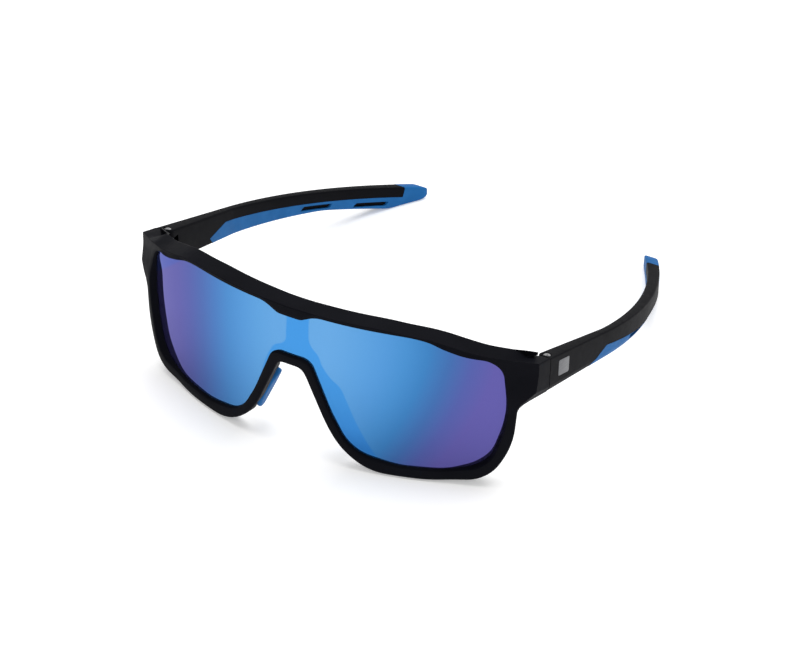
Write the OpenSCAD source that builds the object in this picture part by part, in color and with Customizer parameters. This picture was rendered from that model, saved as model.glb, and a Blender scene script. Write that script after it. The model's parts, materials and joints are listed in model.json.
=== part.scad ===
// Wraparound sport sunglasses, resting open on the rim and the temple tips.
// X is across the face, Y runs back along the temples, Z is up. Millimetres.
// The front of the lens at the bridge lies at y = 0 until place() centres the model.

/* [Lens] */
// Radius of the cylindrical front surface of the lens
lens_radius = 112.6; // [100:0.1:135]
// Thickness of the lens
lens_thick = 2.0; // [1.6:0.1:2.4]
// How far the lens edge reaches into the rim's groove
groove_depth = 1.2; // [0.8:0.1:1.8]
// Least wall left between the groove and the frame's outer edge
groove_wall = 0.8; // [0.6:0.1:1.2]
// Gap between the lens and the walls of its groove
lens_clear = 0.08; // [0.04:0.01:0.12]

/* [Front frame] */
// Half width of the frame over the lugs
side_x = 70.4; // [66:0.1:78]
// Height of the brow bar's top edge at the bridge
brow_z = 51.6; // [49:0.1:60]
// Height of the underside of the bridge arch
arch_z = 30.4; // [26:0.1:32]
// How far the rim stands proud of the lens
rim_ridge = 1.2; // [0.8:0.1:2]
// Depth of the frame behind the front surface of the lens
rim_back = 3.8; // [3.2:0.1:5]
// How far the opening flares out in front of the lens
rim_flare = 0.9; // [0.4:0.1:1.4]

/* [Hinge] */
// How far the lug's back face stands behind the back of the rim at the side
lug_step = 0.35; // [0.2:0.05:2]
// Gap between the lug and the open temple
split_gap = 0.15; // [0.1:0.05:0.3]
// Distance of the hinge axis inside the outer face
hinge_inset = 2.7; // [2.6:0.05:3.2]
// Distance of the hinge axis behind the lug's back face
hinge_back = 2.6; // [2.5:0.05:3.2]
// Radius of the temple's rounded end about the hinge axis
fork_r = 2.4; // [2.2:0.05:2.45]
// Radius of the frame's hinge tongue
tongue_r = 1.9; // [1.7:0.05:2.0]
// Height of the hinge tongue
tongue_h = 4.2; // [3:0.1:5]
// Radius of the hinge screw's shank
screw_r = 0.7; // [0.6:0.05:0.8]
// Radius of the hinge screw's head
head_r = 1.3; // [1.1:0.05:1.5]
// Height of the hinge screw's head
head_h = 0.8; // [0.6:0.05:1.1]
// Radial clearance between the shank and the bores
bore_clear = 0.05; // [0.02:0.01:0.1]
// Width of the hinge nut across its flats
nut_flats = 2.6; // [2.4:0.1:3]
// Height of the hinge nut
nut_h = 1.1; // [0.8:0.1:1.4]
// Thickness of the hinge washer
washer_h = 0.4; // [0.2:0.05:0.6]
// Gap above and below the tongue and washer inside the fork
fork_gap = 0.1; // [0.05:0.05:0.2]

/* [Temples] */
// Distance from the lens front to the temple tips
reach = 154.5; // [145:0.5:165]
// Height of the temple at the hinge
temple_h = 10.7; // [10:0.1:12]
// Height of the tip's top edge above the rest plane
tip_top = 3.75; // [3:0.05:5]
// Distance from the tip to the start of the ear bend
ear_back = 42.5; // [38:0.5:48]
// Height of the temple at the start of the ear bend
ear_h = 7.25; // [6.5:0.05:8]
// Thickness of the temple where it starts to bend
temple_thick = 3.0; // [2.6:0.1:3.6]
// Distance from the lens front to the start of the temple's inward bend
bend_y = 60; // [52:1:70]
// Radius of the inward bend, at the outer face
bend_r = 195; // [170:1:240]
// How much the bend's inner face is moved forward, which thickens the tip
tip_swell = 2.7; // [1:0.1:4]

/* [Grips] */
// Thickness of the rubber on the inner face
grip_in = 1.1; // [0.8:0.1:1.3]
// Thickness of the rubber on the outer face
grip_out = 0.7; // [0.5:0.1:0.9]
// Start of the rubber on the inner face
grip_start = 53.7; // [50:0.1:60]
// Distance of the rubber's edge below the temple's top edge
grip_drop = 3.85; // [3.4:0.05:4.4]
// Length of the rubber tip
grip_tip = 9; // [6:0.5:12]
// Length of each slot in the rubber
slot_l = 12.5; // [8:0.5:14]
// Height of each slot in the rubber
slot_h = 1.3; // [0.8:0.1:1.6]

/* [Nose pads] */
// Length of the rubber pad along the nose
pad_h = 20; // [16:0.5:22]
// Width of the rubber pad
pad_w = 8.4; // [6:0.2:9]
// Thickness of the rubber pad
pad_t = 2.4; // [2:0.1:3]
// Thickness of the frame's wing behind the pad
wing_t = 1.1; // [0.8:0.1:1.4]

/* [Badge] */
// Length of the plain plate on the temple's outer face
badge_l = 6.6; // [4:0.2:8]
// Height of the plate
badge_h = 5.4; // [4:0.2:6]
// Thickness of the plate
badge_t = 0.5; // [0.3:0.05:0.7]

/* [Hidden] */

eps = 0.01;                                   // overlap that keeps unions and cuts clean
far = 60;                                     // longer than any cut needs
arc_tol = 0.03;                               // how far an outline's arc may leave the true one
fine = 160;                                   // facets of the large preview circles
small = 40;                                   // facets of the small preview circles

split_y = lens_y(side_x, rim_back) + lug_step;     // back face of the lug
hinge_x = side_x - hinge_inset;
hinge_y = split_y + hinge_back;
temple_y = split_y + split_gap;               // front face of the open temple
temple_top = brow_z - 11;                     // top edge of the lug and temple at the split
temple_low = temple_top - temple_h;           // lower edge there
temple_fall = (temple_top - tip_top) / (reach - split_y);     // of the top edge, for each mm back
ear_y = reach - ear_back;
ear_fall = (temple_low - top_edge(ear_y) + ear_h) / (ear_y - split_y);    // of the lower edge
lug_x = side_x - 5.8;                         // inner face of the lug
lug_low = brow_z - 17.4;                      // lower front corner of the lug
lug_slope = 7.8;                              // how far back its underside slopes
lug_root = 9.7;                               // how far its solid runs forward into the rim
hinge_top = top_edge(hinge_y);
screw_sunk = 0.35;                            // depth of the screw head below the edge
screw_top = hinge_top - screw_sunk;
tongue_drop = 3.4;                            // depth of the tongue below the edge
tongue_top = hinge_top - tongue_drop;
tongue_low = tongue_top - tongue_h;
nut_low = temple_low - 0.1;                   // underside of the nut, inside its pocket
drive_l = 1.6;                                // length of each slot of the screw's cross recess
drive_w = 0.3;                                // and its width and depth
badge_y = hinge_y + 6.2;                      // middle of the badge
badge_z = top_edge(badge_y) - temple_h / 2 + 0.6;
badge_proud = 0.06;                           // how far it stands out of the temple
badge_gap = 0.03;                             // gap round it in its recess
pad_x = 13.2;                                 // middle of the nose pad
pad_y = 9.2;
pad_z = 13.2;
pad_lean = 26;                                // the pads spread downwards with the nose
pad_turn = -6;                                // and towards the face
wing_sunk = 0.7;                              // how deep the wing sits in the pad
wing_front = 3.4;                             // how far it runs forward of the pad, into the rim
wing_l = pad_h * 0.65;
tip_rest = 10;                                // length of the flat the tip rests on
tip_rise = 6;                                 // length of the tip behind that flat
lower_skin = 0.8;                             // rubber under the core where it wraps the lower edge

// Height of the temple's top edge at a distance y behind the lens front
function top_edge(y) = temple_top - temple_fall * (y - split_y);

// Height of the lower edge, ahead of the ear bend
function low_edge(y) = temple_low - ear_fall * (y - split_y);

// Distance behind the lens's front line of its front surface, or of one deeper in the frame
function lens_y(x, depth = 0) = lens_radius - sqrt(pow(lens_radius - depth, 2) - x * x);

// Outlines of the front, from the middle of the brow round one side to the bridge arch.
// Each corner is [x, z, rounding radius]; z above the rest plane.
brow_corners = [
    [0, brow_z, 0], [side_x - 42.4, brow_z + 0.1, 60], [side_x - 27.4, brow_z - 1.3, 40],
    [side_x - 14.4, brow_z - 6.2, 30], [side_x - 0.1, brow_z - 8.9, 0.6],
    [side_x - 0.1, lug_low, 0.8], [side_x - 4, lug_low - 4.8, 2.5]
];
rim_corners = [
    [side_x - 6.1, 14.2, 54.6], [side_x - 11.3, 1.8, 9], [side_x - 27.2, 0, 60],
    [24.2, 0, 19], [13.8, 8.9, 27], [3.8, arch_z, 4.7], [0, arch_z, 0]
];
frame_corners = concat(brow_corners, rim_corners);
sight_corners = [
    [0, brow_z - 3.9, 0], [4, brow_z - 3.9, 3.7], [8.7, brow_z - 1.4, 10.9],
    [side_x - 30.2, brow_z - 1.8, 28.2], [side_x - 20.7, brow_z - 5.7, 12.1],
    [side_x - 9.4, brow_z - 8.8, 11.9], [side_x - 7.5, 24, 53], [side_x - 12.1, 7.3, 11.8],
    [side_x - 23.7, 4.3, 24.7], [side_x - 36.4, 3.9, 22.7],
    [19.7, 6.4, 16], [13.5, 17.8, 40.1], [6.6, arch_z + 4, 7.7], [0, arch_z + 4, 0]
];

function flat(v) = [v[0], v[1]];
function unit(v) = v / norm(v);
function cross2(u, w) = u[0] * w[1] - u[1] * w[0];

// Points of the arc that rounds corner b between a and c
function corner_arc(a, b, c) =
    b[2] < eps ? [flat(b)] :
    let (
        u = unit(flat(a) - flat(b)),
        w = unit(flat(c) - flat(b)),
        half = acos(u * w) / 2,
        middle = flat(b) + unit(u + w) * b[2] / sin(half),
        from = flat(b) + u * b[2] / tan(half) - middle,
        sweep = (180 - 2 * half) * (cross2(u, w) > 0 ? -1 : 1),
        start = atan2(from[1], from[0]),
        steps = max(1, ceil(abs(sweep) / (2 * acos(1 - min(0.5, arc_tol / b[2])))))
    )
    [for (i = [0:steps]) middle + b[2] * [cos(start + sweep * i / steps), sin(start + sweep * i / steps)]];

// A chain of corners with every inner corner rounded; the two ends stay as they are
function rounded(c) = concat(
    [flat(c[0])],
    [for (i = [1:len(c) - 2]) each corner_arc(c[i - 1], c[i], c[i + 1])],
    [flat(c[len(c) - 1])]
);

// A closed ring of corners, all of them rounded
function rounded_ring(c) = [
    for (i = [0:len(c) - 1])
        each corner_arc(c[(i + len(c) - 1) % len(c)], c[i], c[(i + 1) % len(c)])
];

// Left-hand normal of the edge from a to b, which points out of a clockwise outline
function out_normal(a, b) = let (d = unit(b - a)) [-d[1], d[0]];

// The points of a half outline, moved out by a distance
function moved_out(p, by) = [
    for (i = [0:len(p) - 1])
        let (
            n = i == 0 ? [0, 1] : out_normal(p[i - 1], p[i]),
            m = i == len(p) - 1 ? [0, -1] : out_normal(p[i], p[i + 1])
        )
        p[i] + (n + m) * by / (1 + n * m)
];

// The whole outline, both halves
function both_sides(half) = concat(
    half,
    [for (i = [len(half) - 2:-1:1]) [-half[i][0], half[i][1]]]
);

// Moves the design from the lens front to the middle of the model
module place() {
    translate([0, -(reach - rim_ridge) / 2, 0]) children();
}

// side = 1 is the wearer's left (+X), side = -1 the right
module on_side(side) {
    if (side > 0) children();
    else mirror([1, 0, 0]) children();
}

// A front outline, moved out by a distance and cut through from front to back
module front_cut(corners, by = 0) {
    translate([0, far, 0]) rotate([90, 0, 0]) linear_extrude(height = far + 10)
        polygon(both_sides(moved_out(rounded(corners), by)));
}

// Space between two surfaces that share the lens's axis
module band(front, back) {
    translate([0, lens_radius, -10]) difference() {
        cylinder(r = lens_radius + front, h = 90, $fn = fine);
        translate([0, 0, -1]) cylinder(r = lens_radius - back, h = 92, $fn = fine);
    }
}

// A side outline [y, z] given thickness from x0 to x1
module side_cut(points, x0, x1) {
    translate([x0, 0, 0]) rotate([90, 0, 90]) linear_extrude(height = x1 - x0) polygon(points);
}

// Hinge axis of the +X side
module at_hinge(z) {
    translate([hinge_x, hinge_y, z]) children();
}

// Solid lug from the front surface to the split face
module lug() {
    root_y = lens_y(side_x) - lug_root;
    intersection() {
        side_cut([[root_y, top_edge(root_y)], [split_y, temple_top], [split_y, temple_low],
            [split_y - lug_slope, lug_low], [root_y, lug_low + 2]], lug_x, side_x);
        translate([0, lens_radius, 0]) cylinder(r = lens_radius + rim_ridge, h = far, $fn = fine);
    }
}

// Single knuckle between the two arms of the temple's fork
module tongue() {
    at_hinge(tongue_low) cylinder(r = tongue_r, h = tongue_h, $fn = small);
    translate([hinge_x - tongue_r, split_y - 1, tongue_low])
        cube([2 * tongue_r, hinge_back + 1, tongue_h]);
}

// Nose pad of the +X side: its middle, its lean along the nose and its turn towards the face
module at_pad() {
    translate([pad_x, pad_y, pad_z]) rotate([0, -pad_lean, 0]) rotate([0, 0, pad_turn]) children();
}

// Moulded wing of the frame that backs the pad
module pad_wing() {
    intersection() {
        at_pad() translate([pad_t / 2 - wing_sunk, -pad_w / 2 - wing_front, -wing_l / 2])
            cube([wing_t, pad_w / 2 + wing_front + 1.5, wing_l]);
        band(-lens_thick - 3 * lens_clear, far);
    }
}

// The pad: a flat bar with round ends
module pad_body() {
    at_pad() translate([-pad_t / 2, 0, 0]) rotate([90, 0, 90]) linear_extrude(height = pad_t) {
        for (end = [-1, 1]) translate([0, end * (pad_h - pad_w) / 2]) circle(d = pad_w, $fn = small);
        square([pad_w, pad_h - pad_w], center = true);
    }
}

// Room for the lens edge: the opening moved out, but never through the frame's own edge
module lens_outline(gap) {
    intersection() {
        front_cut(sight_corners, groove_depth + gap);
        front_cut(frame_corners, -groove_wall - lens_clear + gap);
    }
}

module front_frame() {
    color([0.05, 0.05, 0.06]) place() difference() {
        union() {
            difference() {
                intersection() {
                    front_cut(frame_corners);
                    band(rim_ridge, rim_back);
                }
                front_cut(sight_corners);
                intersection() {
                    front_cut(sight_corners, rim_flare);
                    band(rim_ridge + 5, -0.3);
                }
                intersection() {
                    lens_outline(lens_clear);
                    band(lens_clear, lens_thick + lens_clear);
                }
            }
            for (side = [-1, 1]) on_side(side) {
                lug();
                tongue();
                pad_wing();
            }
        }
        for (side = [-1, 1]) on_side(side)
            at_hinge(tongue_low - 1) cylinder(r = screw_r + bore_clear, h = tongue_h + 2, $fn = small);
    }
}

module shield_lens() {
    color([0.2, 0.45, 0.8]) place() intersection() {
        lens_outline(0);
        band(0, lens_thick);
    }
}

module nose_pad(side) {
    color([0.1, 0.4, 0.75]) place() on_side(side) difference() {
        pad_body();
        pad_wing();
    }
}

// Side outline of the temple, grips included
temple_side = [
    [temple_y, top_edge(temple_y), 0], [temple_y, temple_low, 0],
    [ear_y, low_edge(ear_y), 60], [reach - tip_rise - tip_rest, 0, 12], [reach - tip_rise, 0, 4],
    [reach, tip_top - 1.35, 1], [reach, tip_top, 0.4]
];

// Plan area inside the temple's outer face, or inside that face moved in by trim
module within(trim = 0) {
    translate([0, hinge_y]) square([side_x - trim, bend_y - hinge_y + eps]);
    intersection() {
        translate([side_x - bend_r, bend_y]) circle(r = bend_r - trim, $fn = fine * 3);
        translate([0, bend_y]) square([side_x + 1, reach - bend_y + 1]);
    }
}

// Plan area on the face's side of the temple's inner face, or of that face moved out by trim
module inboard(trim = 0) {
    polygon([
        [0, hinge_y - eps], [hinge_x - fork_r + trim, hinge_y - eps],
        [side_x - temple_thick + trim, bend_y], [side_x - temple_thick + trim, bend_y + eps],
        [0, bend_y + eps]
    ]);
    intersection() {
        translate([side_x - bend_r, bend_y - tip_swell])
            circle(r = norm([bend_r - temple_thick, tip_swell]) + trim, $fn = fine * 3);
        translate([-1, bend_y]) square([side_x + 1, reach - bend_y + 2]);
    }
}

module temple_plan() {
    difference() {
        within();
        inboard();
    }
    translate([hinge_x, hinge_y]) circle(r = fork_r, $fn = small);
    translate([hinge_x, temple_y]) square([hinge_inset, hinge_y - temple_y + eps]);
}

// Plan of the rubber on the inner face, and on the outer face
module inner_layer() {
    difference() {
        inboard(grip_in);
        inboard();
    }
}

module outer_layer() {
    difference() {
        within();
        within(grip_out);
    }
}

// The part of the temple's side view that lies in a region
module side_area() {
    intersection() {
        polygon(rounded_ring(temple_side));
        children();
    }
}

// Solid that has the first child as its side view and the second as its plan
module crossed() {
    intersection() {
        rotate([90, 0, 90]) linear_extrude(height = side_x + 2) children(0);
        translate([0, 0, -10]) linear_extrude(height = far) children(1);
    }
}

// Height of the straight line along which the rubber meets the core
function grip_edge(y) = top_edge(y) - grip_drop;

// Side regions of the rubber: inner face, outer face, lower edge and tip
inner_grip = [
    [grip_start, grip_edge(grip_start) - 4.1], [grip_start + 9.8, grip_edge(grip_start + 9.8)],
    [reach + 5, grip_edge(reach + 5)], [reach + 5, -5], [grip_start + 6, -5],
    [grip_start + 1.5, grip_edge(grip_start) - 6.5]
];
outer_grip = [
    [grip_start + 3, grip_edge(grip_start) - 7], [grip_start + 13.8, grip_edge(grip_start + 13.8) - 1.1],
    [reach - 46, low_edge(reach - 46) - 0.4], [reach - 50, 0], [grip_start, 0]
];
tip_grip = [
    [reach - grip_tip, 12], [reach + 5, 12], [reach + 5, -5], [reach - grip_tip - 9, -5],
    [reach - grip_tip - 2.4, grip_edge(reach - grip_tip)]
];

// One slot through the rubber, along the temple: its upper front corner, measured from the edge
module grip_slot(y, rise) {
    z = grip_edge(y) + rise;
    polygon([[y, z], [y + slot_l, z - temple_fall * slot_l],
        [y + slot_l - 1, z - temple_fall * slot_l - slot_h], [y - 1.2, z - slot_h]]);
}

module inner_side() {
    difference() {
        polygon(inner_grip);
        grip_slot(reach - 51.2, -0.9);
        grip_slot(reach - 28.9, -1.6);
    }
}

module outer_side() {
    difference() {
        polygon(outer_grip);
        grip_slot(reach - 68.5, -2.4);
    }
}

// The band of rubber that wraps the lower edge and joins the two faces
module lower_edge() {
    difference() {
        polygon(outer_grip);
        translate([0, lower_skin]) polygon(rounded_ring(temple_side));
    }
}

module temple_grip(side) {
    color([0.1, 0.4, 0.8]) place() on_side(side) {
        crossed() {
            side_area() inner_side();
            inner_layer();
        }
        crossed() {
            side_area() outer_side();
            outer_layer();
        }
        crossed() {
            side_area() lower_edge();
            temple_plan();
        }
        crossed() {
            side_area() polygon(tip_grip);
            temple_plan();
        }
    }
}

// Space the tongue sweeps inside the fork as the temple folds, with the washer above it
module tongue_slot() {
    room = 0.15;
    low = tongue_low - fork_gap;
    high = tongue_top + washer_h + 2 * fork_gap;
    swept = norm([tongue_r, hinge_back]) + room;
    translate([0, 0, low]) linear_extrude(height = high - low) {
        translate([hinge_x, hinge_y]) circle(r = tongue_r + room, $fn = small);
        intersection() {
            translate([hinge_x, hinge_y]) circle(r = swept, $fn = small);
            translate([hinge_x - 2 * swept, hinge_y - 2 * swept]) square([2 * swept, 4 * swept]);
        }
        translate([hinge_x - swept, split_y - 1]) square([swept + tongue_r + room, hinge_back + 1]);
    }
}

module badge_shape(gap = 0) {
    fall = temple_fall * badge_l / 2;
    side_cut([
        [badge_y - badge_l / 2 - gap, badge_z + badge_h / 2 + fall + gap],
        [badge_y + badge_l / 2 + gap, badge_z + badge_h / 2 - fall + gap],
        [badge_y + badge_l / 2 + gap, badge_z - badge_h / 2 - fall - gap],
        [badge_y - badge_l / 2 - gap, badge_z - badge_h / 2 + fall - gap]
    ], side_x - badge_t, side_x + badge_proud + gap);
}

module temple(side) {
    color([0.06, 0.06, 0.07]) place() on_side(side) difference() {
        crossed() {
            polygon(rounded_ring(temple_side));
            temple_plan();
        }
        tongue_slot();
        at_hinge(0) cylinder(r = screw_r + bore_clear, h = far, $fn = small);
        at_hinge(screw_top - head_h) cylinder(r = head_r + bore_clear, h = 5, $fn = small);
        at_hinge(nut_low - 3)
            cylinder(d = nut_flats / cos(30) + 2 * bore_clear, h = nut_h + 3 + bore_clear, $fn = 6);
        badge_shape(badge_gap);
        crossed() {
            inner_side();
            inboard(grip_in);
        }
        crossed() {
            outer_side();
            difference() {
                translate([0, hinge_y]) square([side_x + 1, reach]);
                within(grip_out);
            }
        }
        crossed() {
            lower_edge();
            square([side_x + 1, reach + 1]);
        }
        crossed() {
            polygon(tip_grip);
            square([side_x + 1, reach + 1]);
        }
    }
}

module hinge_screw(side) {
    shank_low = nut_low + 0.1;
    color("silver") place() on_side(side) difference() {
        union() {
            at_hinge(screw_top - head_h) cylinder(r = head_r, h = head_h, $fn = small);
            at_hinge(shank_low) cylinder(r = screw_r, h = screw_top - shank_low - eps, $fn = small);
        }
        at_hinge(screw_top - drive_w) for (turn = [0, 90]) rotate([0, 0, turn])
            translate([-drive_l / 2, -drive_w / 2, 0]) cube([drive_l, drive_w, head_h]);
    }
}

module hinge_nut(side) {
    color("silver") place() on_side(side) at_hinge(nut_low) difference() {
        cylinder(d = nut_flats / cos(30), h = nut_h, $fn = 6);
        translate([0, 0, -1]) cylinder(r = screw_r, h = nut_h + 2, $fn = small);
    }
}

module hinge_washer(side) {
    color("white") place() on_side(side) at_hinge(tongue_top + fork_gap / 2) difference() {
        cylinder(r = tongue_r, h = washer_h, $fn = small);
        translate([0, 0, -1]) cylinder(r = screw_r + bore_clear, h = washer_h + 2, $fn = small);
    }
}

module badge(side) {
    color([0.6, 0.62, 0.64]) place() on_side(side) badge_shape();
}

front_frame();
shield_lens();
nose_pad(1);  // nose_pad_left
nose_pad(-1);  // nose_pad_right
temple(1);  // temple_left
temple(-1);  // temple_right
temple_grip(1);  // temple_grip_left
temple_grip(-1);  // temple_grip_right
hinge_screw(1);  // hinge_screw_left
hinge_screw(-1);  // hinge_screw_right
hinge_nut(1);  // hinge_nut_left
hinge_nut(-1);  // hinge_nut_right
hinge_washer(1);  // hinge_washer_left
hinge_washer(-1);  // hinge_washer_right
badge(1);  // badge_left
badge(-1);  // badge_right
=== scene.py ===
import json
import math

import bmesh
import bpy
import numpy as np
from mathutils import Matrix, Vector


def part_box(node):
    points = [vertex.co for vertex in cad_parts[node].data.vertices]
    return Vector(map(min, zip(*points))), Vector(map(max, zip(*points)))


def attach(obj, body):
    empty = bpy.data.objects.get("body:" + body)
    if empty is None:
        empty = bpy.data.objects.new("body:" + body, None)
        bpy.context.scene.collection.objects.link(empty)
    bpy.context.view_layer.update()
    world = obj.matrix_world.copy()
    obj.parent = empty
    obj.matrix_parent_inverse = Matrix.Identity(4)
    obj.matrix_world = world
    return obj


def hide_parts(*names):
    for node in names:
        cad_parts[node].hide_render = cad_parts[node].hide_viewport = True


# Wraparound sport sunglasses. Shapes are worked out in millimetres, with y = 0 at the front of the
# lens as in the CAD design, and put() turns them into metres in the row frame.
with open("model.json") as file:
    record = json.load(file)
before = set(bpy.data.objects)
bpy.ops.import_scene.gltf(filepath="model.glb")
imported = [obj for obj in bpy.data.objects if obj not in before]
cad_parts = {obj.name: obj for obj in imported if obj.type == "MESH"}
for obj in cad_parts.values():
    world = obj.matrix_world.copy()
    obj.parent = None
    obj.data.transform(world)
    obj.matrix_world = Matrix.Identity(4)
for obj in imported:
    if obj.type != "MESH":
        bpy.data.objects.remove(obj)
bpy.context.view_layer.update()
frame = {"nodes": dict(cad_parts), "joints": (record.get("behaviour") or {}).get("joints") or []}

MM = 0.001
LEFT, RIGHT = 1, -1
SIDE_NAME = {LEFT: "left", RIGHT: "right"}

# ---------------------------------------------------------------- sizes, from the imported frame
lens_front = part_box("shield_lens")[0].y / MM
side_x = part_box("front_frame")[1].x / MM
brow_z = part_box("front_frame")[1].z / MM - 0.09
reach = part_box("temple_grip_left")[1].y / MM - lens_front
hinge = Vector(next(j for j in frame["joints"] if j["child"] == "left_temple")["pos_m"]) / MM
hinge_x, hinge_y = hinge.x, hinge.y - lens_front
screw_low, screw_high = (corner.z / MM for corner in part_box("hinge_screw_left"))
washer_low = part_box("hinge_washer_left")[0].z / MM
# lens: radius of its outer face, thickness, and how far it runs into the rim's groove
lens_radius, lens_thick, lens_lap = 112.6, 2.0, 1.1
# rim: how far it stands proud of the lens and behind it, and the step inside the opening's edge
ridge, rim_back, flare = 1.2, 3.8, 0.4
# split between lug and temple, the lug's inner face, its front corners and the bevel under it
split_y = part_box("temple_left")[0].y / MM - lens_front - 0.15
temple_y = split_y + 0.15
lug_x = side_x - 5.8
lug_high = brow_z - 8.9
lug_low = brow_z - 18.4
lug_bevel = 4.4
# temple: top and lower edge at the hinge, top at the tip, and its depth where it rests behind the ear
temple_top = brow_z - 11
temple_low = temple_top - 11.4
tip_top, ear_back, ear_h = 3.75, 42.5, 7.25
# temple in plan: where it starts to bend, the bend's radius, how far the inner bend's centre lies forward
bend_y, bend_r, tip_swell = 68.5, 163.0, 2.7
temple_thick, fork_r = 3.0, 2.4
top_fall = (temple_top - tip_top) / (reach - split_y)
ear_y = reach - ear_back
# rubber: start of the inner insert, and how far its edge lies below the temple's top
grip_start, grip_drop = 53.7, 3.85
rubber_t = 0.8
# hinge: the frame's single knuckle, its bore, and the screw through it
knuckle_h, knuckle_r, bore_r = 4.2, 1.9, 0.75
washer_gap, washer_t = 0.05, 0.4
shank_r, head_r, head_h = 0.7, 1.3, 0.8
knuckle_top = washer_low - washer_gap
knuckle_low = knuckle_top - knuckle_h


# ---------------------------------------------------------------- plane geometry
def fillet(corners, steps=None, closed=False):
    """Points of a chain of corners (..., radius), each one rounded; an open chain's two ends stay sharp."""
    points = [np.array(c[:-1], float) for c in corners]
    made = []
    count = len(points)
    for i, corner in enumerate(corners):
        here, r = points[i], corner[-1]
        if (not closed and i in (0, count - 1)) or r < 1e-4:
            made.append([here])
            continue
        back, ahead = points[i - 1] - here, points[(i + 1) % count] - here
        lb, la = np.linalg.norm(back), np.linalg.norm(ahead)
        u, w = back / lb, ahead / la
        half = math.acos(np.clip(u @ w, -1, 1)) / 2
        if half > math.radians(89.5):
            made.append([here] * (steps + 1 if steps else 1))
            continue
        cut = min(r / math.tan(half), 0.47 * lb, 0.47 * la)
        r = cut * math.tan(half)
        middle = here + (u + w) / np.linalg.norm(u + w) * r / math.sin(half)
        start, end = here + u * cut - middle, here + w * cut - middle
        turn = math.pi - 2 * half
        n = steps or max(2, math.ceil(turn / (2 * math.acos(1 - min(0.5, 0.015 / r)))))
        arc = [(math.sin((1 - k / n) * turn) * start + math.sin(k / n * turn) * end) / math.sin(turn) + middle
               for k in range(n + 1)]
        made.append(arc)
    return np.array([p for arc in made for p in arc])


def lengths(line):
    """Distances along a polyline of its points."""
    return np.r_[0, np.cumsum(np.linalg.norm(np.diff(line, axis=0), axis=1))]


def along(line, at):
    """Points of a polyline at distances along it."""
    run = lengths(line)
    return np.stack([np.interp(at, run, line[:, k]) for k in range(line.shape[1])], axis=1)


def nearest(line, point):
    """Distance along a polyline of its point nearest to another point."""
    at = np.linspace(0, lengths(line)[-1], 4000)
    return at[np.argmin(np.linalg.norm(along(line, at) - np.array(point), axis=1))]


def smooth(a, b, x):
    """0 before a, 1 after b, with a smooth step between; b may be less than a."""
    t = min(1.0, max(0.0, (x - a) / (b - a)))
    return t * t * (3 - 2 * t)


def mix(a, b, t):
    return a + (b - a) * t


def radial(angle, z, proud):
    """Point at an angle round the lens's axis, standing proud of the lens's front surface."""
    r = lens_radius + proud
    return np.array([r * math.sin(angle), lens_radius - r * math.cos(angle), z])


def angle_of(x, proud):
    """Angle round the lens's axis of a point at x, standing proud of the lens."""
    return math.asin(x / (lens_radius + proud))


# ---------------------------------------------------------------- meshes
def put(name, points, faces, body, slot, replaces=(), smooth_angle=32, side=LEFT):
    """A piece from points in design millimetres. side RIGHT mirrors it across the middle."""
    scaled = [((x * side) * MM, (y + lens_front) * MM, z * MM) for x, y, z in points]
    mesh = bpy.data.meshes.new(name)
    mesh.from_pydata(scaled, [], faces if side == LEFT else [f[::-1] for f in faces])
    mesh.validate()
    work = bmesh.new()
    work.from_mesh(mesh)
    bmesh.ops.remove_doubles(work, verts=work.verts, dist=1e-7)
    bmesh.ops.dissolve_degenerate(work, dist=1e-7, edges=work.edges)
    bmesh.ops.recalc_face_normals(work, faces=work.faces)
    work.to_mesh(mesh)
    work.free()
    piece = bpy.data.objects.new(name, mesh)
    bpy.context.scene.collection.objects.link(piece)
    finish_piece(piece, body, slot, replaces, smooth_angle)
    return piece


def finish_piece(piece, body, slot, replaces=(), smooth_angle=32):
    """Shading of a piece and, unless it is still to be cut, its body, slot and material."""
    piece.data.shade_smooth()
    piece.data.set_sharp_from_angle(angle=math.radians(smooth_angle))
    if body:
        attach(piece, body)
        piece.data.materials.clear()
        piece.data.materials.append(materials[slot])
    if replaces:
        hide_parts(*replaces)


def loft(rings, closed=False):
    """Faces of a skin over rings of equal count. An open skin is capped at both ends."""
    count, size = len(rings), len(rings[0])
    points = [tuple(p) for ring in rings for p in ring]
    faces = []
    for i in range(count if closed else count - 1):
        for j in range(size):
            a, b = i * size + j, i * size + (j + 1) % size
            c, d = ((i + 1) % count) * size + (j + 1) % size, ((i + 1) % count) * size + j
            faces.append((a, b, c, d))
    if not closed:
        faces.append(tuple(range(size))[::-1])
        faces.append(tuple((count - 1) * size + j for j in range(size)))
    return points, faces


def boolean(piece, cutter, how):
    """Applies a boolean to a piece and removes the cutter."""
    modifier = piece.modifiers.new(how, "BOOLEAN")
    modifier.operation, modifier.object, modifier.solver = how, cutter, "MANIFOLD"
    bpy.context.view_layer.update()
    graph = bpy.context.evaluated_depsgraph_get()
    made = bpy.data.meshes.new_from_object(piece.evaluated_get(graph))
    piece.modifiers.clear()
    old, piece.data = piece.data, made
    made.name = piece.name
    bpy.data.meshes.remove(old)
    spent = cutter.data
    bpy.data.objects.remove(cutter)
    bpy.data.meshes.remove(spent)


def tube_points(x, y, low, high, radius, sides=40):
    """Rings of an upright cylinder."""
    turn = [2 * math.pi * k / sides for k in range(sides)]
    return [[(x + radius * math.cos(a), y + radius * math.sin(a), z) for a in turn] for z in (low, high)]


# ---------------------------------------------------------------- materials
def node_material(name):
    material = bpy.data.materials.new(name)
    material.use_nodes = True
    shader = material.node_tree.nodes["Principled BSDF"]
    return material, material.node_tree, shader


def link(tree, a, b):
    tree.links.new(a, b)


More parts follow.
